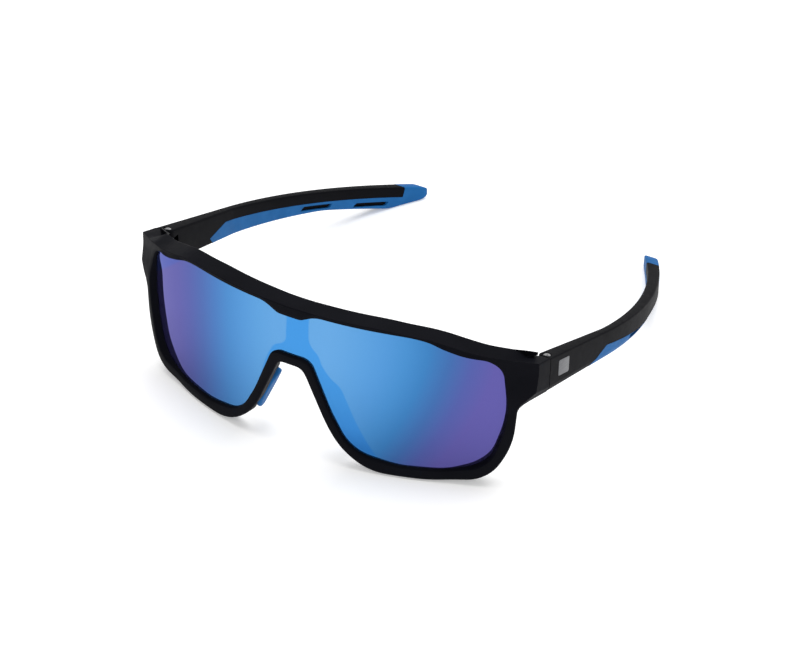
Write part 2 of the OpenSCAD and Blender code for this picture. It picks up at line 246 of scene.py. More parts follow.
def maths(tree, how, a, b=None, clamp=False):
    node = tree.nodes.new("ShaderNodeMath")
    node.operation, node.use_clamp = how, clamp
    for socket, value in zip(node.inputs, (a, b)):
        if value is None:
            continue
        if hasattr(value, "is_output"):
            link(tree, value, socket)
        else:
            socket.default_value = value
    return node.outputs[0]


def noise(tree, scale, detail=2.0, rough=0.5):
    """Noise over the object's own coordinates; scale is in features for each metre."""
    place = tree.nodes.new("ShaderNodeTexCoord")
    node = tree.nodes.new("ShaderNodeTexNoise")
    node.inputs["Scale"].default_value = scale
    node.inputs["Detail"].default_value = detail
    node.inputs["Roughness"].default_value = rough
    link(tree, place.outputs["Object"], node.inputs["Vector"])
    return node.outputs["Fac"]


def ramp(tree, value, stops):
    """Colour ramp through (position, linear colour) stops."""
    node = tree.nodes.new("ShaderNodeValToRGB")
    elements = node.color_ramp.elements
    elements[0].position, elements[-1].position = stops[0][0], stops[-1][0]
    elements[0].color, elements[-1].color = (*stops[0][1], 1), (*stops[-1][1], 1)
    for at, colour in stops[1:-1]:
        elements.new(at).color = (*colour, 1)
    link(tree, value, node.inputs["Fac"])
    return node.outputs["Color"]


def bump(tree, shader, height, depth, strength):
    """Bump of a depth in metres."""
    node = tree.nodes.new("ShaderNodeBump")
    node.inputs["Distance"].default_value = depth
    node.inputs["Strength"].default_value = strength
    link(tree, height, node.inputs["Height"])
    link(tree, node.outputs["Normal"], shader.inputs["Normal"])


def linear(r, g, b):
    """Linear colour of an 8-bit display colour."""
    return tuple(((c / 255 + 0.055) / 1.055) ** 2.4 for c in (r, g, b))


def soft_black(name, base, grain):
    """Soft-touch moulded nylon: a fine even grain, with faint patches of colour and gloss."""
    material, tree, shader = node_material(name)
    patches = noise(tree, 90, 3)
    colour = ramp(tree, patches, [(0.3, base), (0.75, tuple(c * 1.35 for c in base))])
    link(tree, colour, shader.inputs["Base Color"])
    spread = maths(tree, "MULTIPLY_ADD", noise(tree, 420, 4), 0.16)
    spread.node.inputs[2].default_value = 0.44
    link(tree, spread, shader.inputs["Roughness"])
    shader.inputs["Specular IOR Level"].default_value = 0.025
    bump(tree, shader, noise(tree, grain, 3, 0.65), 0.00002, 0.55)
    return material


def blue_rubber():
    """Matte blue elastomer with a moulded grain."""
    material, tree, shader = node_material("blue_rubber")
    colour = ramp(tree, noise(tree, 160, 3),
                  [(0.3, linear(22, 92, 152)), (0.7, linear(29, 101, 165))])
    link(tree, colour, shader.inputs["Base Color"])
    spread = maths(tree, "MULTIPLY_ADD", noise(tree, 700, 3), 0.14)
    spread.node.inputs[2].default_value = 0.5
    link(tree, spread, shader.inputs["Roughness"])
    shader.inputs["Specular IOR Level"].default_value = 0.1
    bump(tree, shader, noise(tree, 5200, 3, 0.6), 0.00003, 0.6)
    return material


def steel():
    """Stainless steel with a fine uneven polish."""
    material, tree, shader = node_material("steel")
    colour = ramp(tree, noise(tree, 1500, 2), [(0.3, (0.55, 0.55, 0.56)), (0.7, (0.72, 0.72, 0.72))])
    link(tree, colour, shader.inputs["Base Color"])
    shader.inputs["Metallic"].default_value = 1.0
    spread = maths(tree, "MULTIPLY_ADD", noise(tree, 2600, 3), 0.18)
    spread.node.inputs[2].default_value = 0.2
    link(tree, spread, shader.inputs["Roughness"])
    bump(tree, shader, noise(tree, 9000, 2), 0.00001, 0.4)
    return material


def nylon():
    """Natural nylon, slightly waxy."""
    material, tree, shader = node_material("nylon")
    colour = ramp(tree, noise(tree, 900, 2), [(0.3, (0.74, 0.74, 0.7)), (0.7, (0.82, 0.82, 0.79))])
    link(tree, colour, shader.inputs["Base Color"])
    shader.inputs["Roughness"].default_value = 0.5
    shader.inputs["Subsurface Weight"].default_value = 0.1
    bump(tree, shader, noise(tree, 6000, 2), 0.00001, 0.4)
    return material


def satin_grey():
    """Satin silver-grey plate with a fine brushed grain along the temple."""
    material, tree, shader = node_material("badge_silver")
    place = tree.nodes.new("ShaderNodeTexCoord")
    stretch = tree.nodes.new("ShaderNodeMapping")
    stretch.inputs["Scale"].default_value = (1, 0.08, 1)
    grain = tree.nodes.new("ShaderNodeTexNoise")
    grain.inputs["Scale"].default_value = 6000
    link(tree, place.outputs["Object"], stretch.inputs["Vector"])
    link(tree, stretch.outputs["Vector"], grain.inputs["Vector"])
    colour = ramp(tree, grain.outputs["Fac"], [(0.3, linear(92, 93, 96)), (0.7, linear(110, 111, 114))])
    link(tree, colour, shader.inputs["Base Color"])
    shader.inputs["Metallic"].default_value = 0.55
    shader.inputs["Roughness"].default_value = 0.42
    bump(tree, shader, grain.outputs["Fac"], 0.00001, 0.5)
    return material


# Colour of the mirror coating, in millimetres from the middle of the lens to its two ends: its own
# blue-to-violet grade, with painted reflection in it, the lighter blue towards the middle and the unlike
# grades of the two sides.
# LEFT and RIGHT in these names are as seen from the front.
GRADE_AND_REFLECTION_LEFT = [(0, (100, 165, 223)), (6, (100, 165, 223)), (12, (94, 161, 220)), (18, (86, 153, 215)),
                (24, (77, 142, 205)), (30, (76, 126, 192)), (36, (80, 110, 178)), (42, (88, 99, 171)),
                (48, (95, 94, 168)), (56, (97, 92, 167))]
GRADE_AND_REFLECTION_RIGHT = [(0, (102, 167, 224)), (13, (103, 167, 224)), (18, (99, 164, 222)), (24, (92, 159, 219)),
                 (30, (84, 152, 214)), (36, (73, 143, 205)), (42, (62, 129, 191)), (48, (67, 110, 174)),
                 (54, (85, 96, 168)), (60, (98, 92, 167))]
lens_colour_gain = 0.8
# painted reflection: a darker blue band over the nose, its colour by height, and its right and left edges by
# height
BAND_REFLECTION_COLOUR = [(8, (50, 127, 202)), (14, (61, 142, 217)), (22, (67, 148, 220)), (36, (68, 152, 225))]
BAND_REFLECTION_RIGHT = [(0, 32), (8, 26), (16, 21.5), (23.8, 18.1), (27.5, 16.3), (30.2, 13.1), (33.7, 10.5),
              (36.8, 9.2), (39, 7.2), (40.8, 6.3), (43.2, 6.1), (53, 6.9)]
BAND_REFLECTION_LEFT = [(0, 22), (8, 17), (16, 14), (24.6, 10.9), (29.6, 9.3), (33.1, 7.7), (35.9, 5.8), (37.1, 3.6),
             (38.7, 2.1), (42.3, 1.7), (53, 1.2)]


def curve_of(tree, value, points):
    """Looks a value up in a smooth curve through points; values and points are 0..1 for 60 mm."""
    node = tree.nodes.new("ShaderNodeFloatCurve")
    line = node.mapping.curves[0]
    line.points[0].location = [c / 60 for c in points[0]]
    line.points[-1].location = [c / 60 for c in points[-1]]
    for at, height in points[1:-1]:
        line.points.new(at / 60, height / 60)
    node.mapping.update()
    link(tree, value, node.inputs["Value"])
    return node.outputs["Value"]


def lens_colour_ramp(tree, value, stops):
    """Ramp over 0..1 for 60 mm, with the lens's own brightness taken out of the colours."""
    dimmed = [(at / 60, tuple(c * lens_colour_gain for c in linear(*colour))) for at, colour in stops]
    return ramp(tree, value, dimmed)


def blend(tree, factor, a, b):
    """Mix of two colours, each one a socket or a plain linear colour."""
    node = tree.nodes.new("ShaderNodeMix")
    node.data_type = "RGBA"
    link(tree, factor, node.inputs["Factor"])
    colours = [socket for socket in node.inputs if socket.type == "RGBA"]
    for socket, colour in zip(colours, (a, b)):
        if isinstance(colour, tuple):
            socket.default_value = (*colour, 1)
        else:
            link(tree, colour, socket)
    return next(socket for socket in node.outputs if socket.type == "RGBA")


def mirror_coating():
    """Blue to violet mirror coating, graded outwards, with painted reflection in it: lighter blue towards the
    middle, a darker blue band over the nose and a darker patch in the upper left corner; smoke inside.
    """
    material, tree, shader = node_material("lens_mirror")
    place = tree.nodes.new("ShaderNodeTexCoord")
    parts = tree.nodes.new("ShaderNodeSeparateXYZ")
    link(tree, place.outputs["Object"], parts.inputs["Vector"])
    x = maths(tree, "MULTIPLY", parts.outputs["X"], 1 / 0.06)
    z = maths(tree, "MULTIPLY", parts.outputs["Z"], 1 / 0.06)
    low = maths(tree, "SUBTRACT", 44 / 60, z, clamp=True)
    lean = maths(tree, "MULTIPLY", maths(tree, "ADD", maths(tree, "MULTIPLY", low, 0.36), 0.16), low)
    # blue-to-violet grade of the coating, partly painted reflection: the lighter blue towards the middle
    rightward = lens_colour_ramp(tree, maths(tree, "ADD", x, lean), GRADE_AND_REFLECTION_RIGHT)
    leftward = lens_colour_ramp(tree, maths(tree, "MULTIPLY", x, -1.0), GRADE_AND_REFLECTION_LEFT)
    graded = blend(tree, maths(tree, "GREATER_THAN", x, 0.0), leftward, rightward)
    # painted reflection: a darker patch in the upper left corner
    corner = maths(tree, "SUBTRACT", z, maths(tree, "ADD", maths(tree, "MULTIPLY", x, 0.86), 86.4 / 60))
    corner = maths(tree, "MULTIPLY_ADD", corner, 60.0, clamp=True)
    corner.node.inputs[2].default_value = 0.5
    graded = blend(tree, maths(tree, "MULTIPLY", corner, 0.8), graded, linear(66, 86, 164))
    # painted reflection: the darker blue band over the nose, between these edges
    right_edge = curve_of(tree, z, BAND_REFLECTION_RIGHT)
    left_edge = curve_of(tree, z, BAND_REFLECTION_LEFT)
    inside_right = maths(tree, "MULTIPLY_ADD", maths(tree, "SUBTRACT", right_edge, x), 110.0, clamp=True)
    inside_right.node.inputs[2].default_value = 0.5
    inside_left = maths(tree, "MULTIPLY_ADD", maths(tree, "ADD", left_edge, x), 110.0, clamp=True)
    inside_left.node.inputs[2].default_value = 0.5
    band_reflection = maths(tree, "MULTIPLY", inside_right, inside_left)
    colour = blend(tree, band_reflection, graded, lens_colour_ramp(tree, z, BAND_REFLECTION_COLOUR))
    # the coating is on the outer face only; the inner face is bare smoke polycarbonate
    deep = maths(tree, "SUBTRACT", parts.outputs["Y"], (lens_radius + lens_front) * MM)
    wide = parts.outputs["X"]
    squared = maths(tree, "ADD", maths(tree, "MULTIPLY", wide, wide), maths(tree, "MULTIPLY", deep, deep))
    coated = maths(tree, "GREATER_THAN", squared, ((lens_radius - lens_thick / 2) * MM) ** 2)
    smoke = ramp(tree, noise(tree, 40, 2), [(0.3, (0.012, 0.012, 0.016)), (0.7, (0.018, 0.018, 0.024))])
    link(tree, blend(tree, coated, smoke, colour), shader.inputs["Base Color"])
    link(tree, maths(tree, "MULTIPLY", coated, 0.85), shader.inputs["Metallic"])
    shader.inputs["Specular Tint"].default_value = (0.6, 0.6, 0.78, 1)
    shader.inputs["Specular IOR Level"].default_value = 0.2
    spread = maths(tree, "MULTIPLY_ADD", noise(tree, 60, 2), 0.02)
    spread.node.inputs[2].default_value = 0.03
    link(tree, spread, shader.inputs["Roughness"])
    shader.inputs["Coat Weight"].default_value = 0.05
    shader.inputs["Coat Roughness"].default_value = 0.03
    return material


def floor_paper():
    """Pale matte paper, lifted a little so that shadows on it stay faint."""
    material, tree, shader = node_material("floor_paper")
    colour = ramp(tree, noise(tree, 3, 2), [(0.3, (0.93, 0.93, 0.93)), (0.7, (0.95, 0.95, 0.95))])
    link(tree, colour, shader.inputs["Base Color"])
    shader.inputs["Roughness"].default_value = 0.9
    shader.inputs["Specular IOR Level"].default_value = 0.05
    shader.inputs["Emission Color"].default_value = (1, 1, 1, 1)
    shader.inputs["Emission Strength"].default_value = 0.3
    return material


materials = {
    "frame_black": soft_black("frame_black", (0.004, 0.0042, 0.0062), 5200),
    "temple_black": soft_black("temple_black", (0.004, 0.0041, 0.0054), 5200),
    "rubber_blue": blue_rubber(),
    "lens_mirror": mirror_coating(),
    "steel": steel(),
    "nylon_washer": nylon(),
    "badge_silver": satin_grey(),
}


# ---------------------------------------------------------------- camera, light and floor
def studio():
    camera = bpy.data.objects.new("camera", bpy.data.cameras.new("camera"))
    bpy.context.scene.collection.objects.link(camera)
    camera.data.sensor_width, camera.data.lens = 36, 113.0
    camera.data.clip_start, camera.data.clip_end = 0.05, 20
    azimuth, elevation, roll = math.radians(30.743), math.radians(32.933), math.radians(0.679)
    toward = Vector((-math.sin(azimuth) * math.cos(elevation), math.cos(azimuth) * math.cos(elevation),
                     -math.sin(elevation)))
    aim = Vector((13.43, 40 + lens_front, 26.60)) * MM
    camera.location = aim - toward * 0.76771
    turn = toward.to_track_quat("-Z", "Y").to_matrix() @ Matrix.Rotation(roll, 3, "Z")
    camera.rotation_euler = turn.to_euler()
    bpy.context.scene.camera = camera

    mesh = bpy.data.meshes.new("floor")
    half = 4.0
    corners = [(-half, -half, 0), (half, -half, 0), (half, half, 0), (-half, half, 0)]
    mesh.from_pydata(corners, [], [(0, 1, 2, 3)])
    floor = bpy.data.objects.new("floor", mesh)
    bpy.context.scene.collection.objects.link(floor)
    floor.location.z = -0.0001
    mesh.materials.append(floor_paper())

    world = bpy.data.worlds.new("studio")
    world.use_nodes = True
    world.node_tree.nodes["Background"].inputs["Color"].default_value = (1, 1, 1, 1)
    world.node_tree.nodes["Background"].inputs["Strength"].default_value = 0.45
    bpy.context.scene.world = world
    for name, place, size, power in (
        ("overhead", (0.0, 0.35, 1.5), 1.6, 22),
        ("front_fill", (0.9, -1.2, 1.0), 1.2, 4),
    ):
        light = bpy.data.objects.new(name, bpy.data.lights.new(name, "AREA"))
        light.data.size, light.data.energy = size, power
        light.location = place
        light.rotation_euler = (-Vector(place)).to_track_quat("-Z", "Y").to_euler()
        bpy.context.scene.collection.objects.link(light)
    bpy.context.scene.view_settings.view_transform = "Standard"


# ---------------------------------------------------------------- front frame
# Half outlines from the middle of the brow, round one side, to the nose arch: [x, z, corner radius].
def outer_corners():
    return [(0, brow_z, 0), (side_x - 42.4, brow_z + 0.1, 60), (side_x - 27.4, brow_z - 1.3, 40),
            (side_x - 14.4, brow_z - 5.8, 30), (side_x - 0.1, lug_high, 0.6), (side_x - 0.1, lug_low, 0.8),
            (side_x - 3.9, lug_low - lug_bevel, 2), (side_x - 4.8, 14.2, 54.6), (side_x - 10.7, 2.4, 13),
            (side_x - 27.2, 0.25, 60), (24.6, 0.25, 19), (14.2, 8.9, 27), (4.0, 31.1, 4.7), (0, 31.1, 0)]


def sight_corners():
    return [(0, brow_z - 3.9, 0), (4, brow_z - 3.9, 3.7), (8.7, brow_z - 1.4, 10.9),
            (40.2, brow_z - 1.8, 28.2), (49.7, brow_z - 5.7, 12.1), (61, brow_z - 8.8, 11.9),
            (62.9, 24, 53), (58.3, 7.3, 11.8), (46.7, 4.3, 24.7), (34, 3.9, 22.7), (19.7, 6.4, 16),
            (13.5, 17.8, 40.1), (6.6, 34.4, 7.7), (0, 34.4, 0)]


# Places on the outer outline and on the lens opening that lie opposite each other.
OPPOSITE = [((28, 51.7), (28, 50)), ((43, 50.3), (41, 49.7)), ((56, 45.4), (50.5, 45.6)),
            ((70.3, 42.7), (60, 42)), ((70.3, 33.2), (62.6, 33.5)), ((66.5, 28.8), (62.8, 28.6)),
            ((64.3, 14.2), (60.9, 15.5)), ((57.6, 2.8), (55.5, 6)), ((43.2, 0), (43.5, 4.2)),
            ((25, 0.1), (26, 5.1)), ((14.9, 8), (17.5, 10)), ((13.1, 12), (15.4, 14)),
            ((7.5, 22), (11.6, 23)), ((4.9, 29.2), (8.2, 31.5)), ((3.2, 31.1), (5.2, 34.2))]


def stations():
    """Matched points of the outer outline and the opening, one half, as (outer, sight)."""
    outer, sight = fillet(outer_corners()), fillet(sight_corners())
    outer_end, sight_end = lengths(outer)[-1], lengths(sight)[-1]
    outer_at = np.array([0] + [nearest(outer, a) for a, b in OPPOSITE] + [outer_end])
    sight_at = np.array([0] + [nearest(sight, b) for a, b in OPPOSITE] + [sight_end])
    wanted = np.concatenate([np.arange(0, outer_end, 0.8), lengths(outer),
                             np.interp(lengths(sight), sight_at, outer_at), [outer_end]])
    wanted = np.sort(wanted)
    kept = [wanted[0]]
    for at in wanted[1:]:
        if at - kept[-1] > 0.12:
            kept.append(at)
    kept[-1] = outer_end
    kept = np.array(kept)
    return along(outer, kept), along(sight, np.interp(kept, outer_at, sight_at))


def rim_section(outer, sight):
    """Closed section of the rim at one station, with the lens groove; the lug runs back to the hinge."""
    width = np.linalg.norm(outer - sight)
    ox, oz = outer
    proud = ridge + 1.3 * smooth(48, 61, ox) * smooth(40, 30, oz)
    ends = np.array([angle_of(sight[0], 0), sight[1]]), np.array([angle_of(ox, proud), oz])

    def at(u, out):
        angle, z = mix(*ends, u / width)
        return radial(angle, z, out)

    def behind(u):
        """Back of the rim: along the lens's radius at the sides, straight back under the brow."""
        out = proud * u / width
        straight = at(u, out) + np.array([0, back + out, 0])
        return mix(at(u, -back), straight, bar)

    upper = oz > brow_z - 9.5
    bar = smooth(36, 42, oz) if upper or ox < 60 else 0.0
    wing = smooth(43.5, 50, ox) * smooth(66, 58, ox) if upper else 0.0
    front_in = min(flare, 0.42 * width)
    facet = min(front_in + 1.0 + 2.1 * wing, 0.85 * width)
    back = rim_back + 2.1 * bar
    draft = 0.3 * bar
    groove = min(lens_lap + 0.15, width - 0.7)
    edge_round = mix(0.35, 0.9, smooth(36, 28, oz))

    # share of the lug at this station: 0 on the plain rim, 1 where the section runs back to the hinge
    lug = 0.0
    if oz > 25 and ox > 58:
        lug = smooth(61.0, 65.6, ox) if upper else smooth(26.6, 29.0, oz)
    share = np.clip((oz - lug_low) / (lug_high - lug_low), 0, 1)
    if upper:
        lug_z = np.interp(ox, (64.6, 68.0), (temple_top - 0.6, temple_top))
        lug_outer = np.array([max(ox, lug_x), split_y, lug_z])
        lug_inner = np.array([lug_x, split_y, temple_top - 0.6])
    elif oz < lug_low:
        rise = np.clip((oz - lug_low) / lug_bevel + 1, 0, 1)
        lug_outer = np.array([side_x - 0.6 * (1 - rise), split_y, temple_low - 0.1 + 1.75 * rise])
        lug_inner = np.array([lug_x, split_y, temple_low + 0.6])
    else:
        lug_outer = np.array([side_x, split_y, mix(temple_low + 1.65, temple_top, share)])
        lug_inner = np.array([lug_x, split_y, mix(temple_low + 0.6, temple_top - 0.6, share)])
    lug_turn = angle_of(lug_x, -rim_back) - ends[0][0]
    lug_u = np.clip(lug_turn / max(ends[1][0] - ends[0][0], 0.01), 0.1, 0.9) * width

    # the back edge is drawn in beside the nose pads
    nose = smooth(18, 15, ox) * smooth(31, 27, oz) * smooth(4, 8, oz)
    plain = [behind(width - nose) - np.array([0, 0, draft]),
             behind(min(0.78 * width, width - 1.3 * nose) - draft),
             behind(min(0.7 * width, width - 1.6 * nose) - draft)]
    lugged = [lug_outer, lug_inner, behind(lug_u)]
    mid = [mix(p, q, lug) for p, q in zip(plain, lugged)]
    corners = [
        (*at(0, 0.02), 0.12),
        (*at(front_in, proud - 0.1 + 0.75 * wing), 0.3),
        (*at(facet, proud), 0.5),
        (*at(width, proud), edge_round),
        (*mid[0], mix(0.4, 0.25, lug)),
        (*mid[1], 0.2),
        (*mid[2], 0.4),
        (*behind(0.0), 0.45),
        (*at(0, -lens_thick), 0.1),
        (*at(groove, -lens_thick), 0.0),
        (*at(groove, 0.02), 0.0),
    ]
    return fillet(corners, steps=3, closed=True)


def front_frame():
    """The whole rim with both lugs, one skin over the sections of one half and their mirror image."""
    outer, sight = stations()
    half = [rim_section(o, s) for o, s in zip(outer, sight)]
    mirrored = [ring * np.array([-1, 1, 1]) for ring in half[-2:0:-1]]
    points, faces = loft(half + mirrored, closed=True)
    piece = put("front_frame_shell", points, faces, "front", "frame_black", ["front_frame"], 38)
    modifier = piece.modifiers.new("weighted", "WEIGHTED_NORMAL")
    modifier.keep_sharp = True


def inset(edge, cut):
    """A convex outline moved in towards its middle by about a distance."""
    points = np.array(edge)
    inwards = points.mean(axis=0) - points
    return points + inwards / np.linalg.norm(inwards, axis=1, keepdims=True) * cut


def hinge_tongue(side):
    """Single knuckle of the frame, with its bore, and the block that carries it."""
    low, high, r = knuckle_low, knuckle_top, knuckle_r
    edge = [(hinge_x + r * math.cos(a), hinge_y + r * math.sin(a)) for a in np.linspace(0, math.pi, 25)]
    edge += [(hinge_x - r, split_y - 1.5), (hinge_x + r, split_y - 1.5)]
    levels = ((low, 0.2), (low + 0.06, 0.06), (low + 0.2, 0.0),
              (high - 0.2, 0.0), (high - 0.06, 0.06), (high, 0.2))
    rings = [[(x, y, z) for x, y in inset(edge, cut)] for z, cut in levels]
    tongue = put("hinge_tongue_" + SIDE_NAME[side], *loft(rings), None, None, side=side)
    bore = put("bore", *loft(tube_points(hinge_x, hinge_y, low - 1, high + 1, bore_r)), None, None, side=side)
    boolean(tongue, bore, "DIFFERENCE")
    finish_piece(tongue, "front", "frame_black")


# ---------------------------------------------------------------- lens
def lens_piece():
    """The lens as upright columns across the cylinder, each one as tall as its outline is there."""
    outer, inner = stations()
    edge = []
    for o, s in zip(outer, inner):
        width = np.linalg.norm(o - s)
        edge.append(s + (o - s) / width * min(lens_lap, width - 0.8))
    edge = np.array(edge)
    end = int(np.argmax(edge[:, 0]))
    brow, cheek = edge[:end + 1], edge[end:][::-1]
    half = np.unique(np.r_[0, edge[end, 0] * np.sin(np.linspace(0, math.pi / 2, 130))[1:-1], edge[:, 0]])
    half = half[np.r_[True, np.diff(half) > 0.02]]
    rings = []
    for x in np.r_[-half[:0:-1], half]:
        high = np.interp(abs(x), *brow.T)
        low = np.interp(abs(x), *cheek.T)
        turn = angle_of(x, 0)
        rings.append([radial(turn, low, 0), radial(turn, high, 0), radial(turn, high, -lens_thick),
                      radial(turn, low, -lens_thick)])
    put("shield_lens_sheet", *loft(rings), "front", "lens_mirror", ["shield_lens"])


# ---------------------------------------------------------------- temples
def lower_edge():
    """Lower edge of the temple as [y, z] points."""
    fall = (temple_low - (temple_top - top_fall * (ear_y - split_y)) + ear_h) / (ear_y - split_y)
    low_ear = temple_low - fall * (ear_y - split_y)
    return fillet([(temple_y, temple_low, 0), (ear_y, low_ear, 60), (reach - 16, 0, 12), (reach - 5.5, 0, 8),
                   (reach, 1.3, 0)])


lower_line = lower_edge()


def low_z(y):
    return float(np.interp(y, lower_line[:, 0], lower_line[:, 1]))


def top_edge(y):
    return temple_top - top_fall * (y - split_y)


def outer_x(y):
    """Outer face of the temple in plan: straight, then bent inwards on one radius."""
    if y <= bend_y:
        return side_x
    return side_x - bend_r + math.sqrt(bend_r ** 2 - (y - bend_y) ** 2)


def inner_x(y):
    """Inner face in plan: round the knuckle, tapering to the bend, then thickening to the tip."""
    if y <= hinge_y:
        return hinge_x - math.sqrt(max(0.0, fork_r ** 2 - (hinge_y - y) ** 2))
    if y <= bend_y:
        return mix(hinge_x - fork_r, side_x - temple_thick, (y - hinge_y) / (bend_y - hinge_y))
    r = math.hypot(bend_r - temple_thick, tip_swell)
    return side_x - bend_r + math.sqrt(r ** 2 - (y - bend_y + tip_swell) ** 2)


def temple_section(y, grow, squeeze=1.0):
    """Section of the temple: upright faces, a rounded top and a bevel along the outer lower edge."""
    z0, z1 = max(0.0, low_z(y) - grow), top_edge(y) + grow
    x0, x1 = inner_x(y) - grow, outer_x(y) + grow
    tall = z1 - z0
    bevel = min(1.5, 0.22 * tall)
    corners = [(x1, z1, 0.5), (x0 + 0.1, z1, 0.75), (x0, z0, 0.7), (x1 - 0.4 * bevel, z0, 0.3),
               (x1, z0 + 1.1 * bevel, 0.5)]
    ring = fillet(corners, steps=5, closed=True)
    middle = np.array([(x0 + x1) / 2, (z0 + z1) / 2])
    ring = middle + (ring - middle) * squeeze
    return [(x, y, z) for x, z in ring]


def temple_loft(grow=0.0, start=None):
    """Closed skin of the temple, or of the temple grown or shrunk; a rounded end closes the tip."""
    first = temple_y if start is None else start
    round_tip, end = 2.7, reach - 1.6
    fork, blade = np.arange(first + 0.2, hinge_y, 0.25), np.arange(hinge_y, end - round_tip, 0.8)
    rows = [first, first + 0.06, *fork, *blade]
    rings = [temple_section(y, grow) for y in rows]
    if start is None and grow >= 0:
        rings[0] = temple_section(rows[0], grow, 0.9)
    for turn in np.radians(np.linspace(0, 84, 12)):
        y = end - round_tip + (round_tip + min(grow, 0)) * math.sin(turn)
        rings.append(temple_section(y, grow, math.cos(turn) ** 0.85))
    return loft(rings)


def band(low, high, y0, y1, near, far):
    """Solid between lines low(y) and high(y) in the side view, and near(y) and far(y) in plan."""
    rows = np.linspace(y0, y1, max(3, int((y1 - y0) / 0.7)))
    rings = []
    for y in rows:
        a, b = near(y), far(y)
        rings.append([(a, y, low(y)), (a, y, high(y)), (b, y, high(y)), (b, y, low(y))])
    return loft(rings)


def line_through(points):
    """Height as a function of y, along straight lines through (y, z) points."""
    ys, zs = zip(*points)
    return lambda y: float(np.interp(y, ys, zs))


def grip_edge(y):
    """Upper edge of the rubber on the temple's inner face."""
    return top_edge(y) - grip_drop


def mid_x(y):
    return (inner_x(y) + outer_x(y)) / 2


def grip_bands(gap):
    """The regions of the overmoulded rubber, each one moved out by a gap where it is cut from the core."""
    below, above, past = -6, 12, reach + 4
    edge = grip_edge(grip_start)
    inner_start, outer_start, outer_end = grip_start - gap, grip_start + 3 - gap, reach - 46 + gap
    shoulder, outer_shoulder = grip_start + 9.8, grip_start + 13.8
    tip = reach - 9
    tip_start = tip - 2.4 - gap
    inner_high = line_through([(inner_start, edge - 4.1 + gap), (shoulder, grip_edge(shoulder) + gap),
                               (past, grip_edge(past) + gap)])
    inner_low = line_through([(inner_start, edge - 4.2 - gap), (grip_start + 1.5, edge - 6.5 - 1.3 * gap),
                              (grip_start + 6, below), (past, below)])
    outer_high = line_through([(outer_start, edge - 7 + gap),
                               (outer_shoulder, grip_edge(outer_shoulder) - 1.1 + gap),
                               (outer_end, low_z(reach - 46) + gap)])
    tip_low = line_through([(tip_start, grip_edge(tip) - gap), (tip + 0.2, below), (past, below)])
    tip_high = line_through([(tip_start, grip_edge(tip) + gap), (tip - gap, above), (past, above)])
    return [
        band(inner_low, inner_high, inner_start, reach + 3,
             lambda y: inner_x(y) - 3, lambda y: mid_x(y) + 0.1 + gap),
        band(lambda y: below, outer_high, outer_start, outer_end,
             lambda y: mid_x(y) - 0.1 - gap, lambda y: outer_x(y) + 3),
        band(tip_low, tip_high, tip_start, reach + 3,
             lambda y: inner_x(y) - 4, lambda y: outer_x(y) + 4),
    ]


def slot_band(y, rise, near, far):
    """One slot through the rubber, along the temple."""
    z = grip_edge(y) + rise
    length, height, slant = 12.5, 1.3, 1.2
    end, end_z = y + length, z - top_fall * length
    low = line_through([(y - slant, z - height), (end - 1, end_z - height), (end, end_z - 0.1)])
    high = line_through([(y - slant, z - height + 0.1), (y, z), (end, end_z)])
    return band(low, high, y - slant, end, near, far)


def rubber_region(make, gap):
    """The three regions of the rubber as one solid."""
    first, *others = [make("region", skin) for skin in grip_bands(gap)]
    for other in others:
        boolean(first, other, "UNION")
    return first


def temple_pieces(side):
    """The nylon core with its fork, bores and recesses, and the rubber moulded over it."""
    name = SIDE_NAME[side]
    body = name + "_temple"

    def make(label, skin):
        return put(label, *skin, None, None, side=side)

    def hole(label, low, high, radius, sides=40):
        return make(label, loft(tube_points(hinge_x, hinge_y, low, high, radius, sides)))

    # the rubber: the grown skin less its core, inside the moulded regions
    grip = make("temple_grip_" + name + "_rubber", temple_loft(0.05))
    boolean(grip, rubber_region(make, 0.0), "INTERSECT")
    boolean(grip, make("hollow", temple_loft(-rubber_t, start=temple_y - 2)), "DIFFERENCE")
    inside = (lambda y: inner_x(y) - 3, lambda y: inner_x(y) + 1.2)
    outside = (lambda y: outer_x(y) - 1.2, lambda y: outer_x(y) + 3)
    for from_tip, rise, (near, far) in ((51.2, -0.9, inside), (28.9, -1.6, inside), (68.5, -2.4, outside)):
        boolean(grip, make("slot", slot_band(reach - from_tip, rise, near, far)), "DIFFERENCE")
    finish_piece(grip, body, "rubber_blue", ["temple_grip_" + name], 40)

    # the core, recessed where the rubber lies
    core = make("temple_" + name + "_core", temple_loft(0.0))
    recess = rubber_region(make, 0.06)
    boolean(recess, make("hollow", temple_loft(-rubber_t + 0.02, start=temple_y - 2)), "DIFFERENCE")
    boolean(core, recess, "DIFFERENCE")

    # the fork's gap, wide enough for the knuckle over the whole fold
    low, high = knuckle_low - 0.1, washer_low + washer_t + 0.15
    near_r = knuckle_r + 0.15
    swept = math.hypot(knuckle_r, hinge_y - split_y) + 0.15
    edge = [(hinge_x + near_r, split_y - 1)]
    for r, start, end, count in ((near_r, 0, math.pi / 2, 9), (swept, math.pi / 2, math.pi, 13)):
        turn = np.linspace(start, end, count)
        edge += [(hinge_x + r * math.cos(a), hinge_y + r * math.sin(a)) for a in turn]
    edge += [(hinge_x - swept, split_y - 1)]
    boolean(core, make("slot", loft([[(x, y, z) for x, y in edge] for z in (low, high)])), "DIFFERENCE")
    boolean(core, hole("bore", 20, 60, bore_r), "DIFFERENCE")
    boolean(core, hole("sink", screw_high - head_h, 60, head_r + 0.06, 48), "DIFFERENCE")
    boolean(core, hole("pocket", 20, screw_low + 1.05, 1.55, 6), "DIFFERENCE")
    plate = [[(x, y, z) for y, z in badge_outline(0.04)] for x in (side_x - 0.5, side_x + 1)]
    boolean(core, make("recess", loft(plate)), "DIFFERENCE")
    finish_piece(core, body, "temple_black", ["temple_" + name], 40)


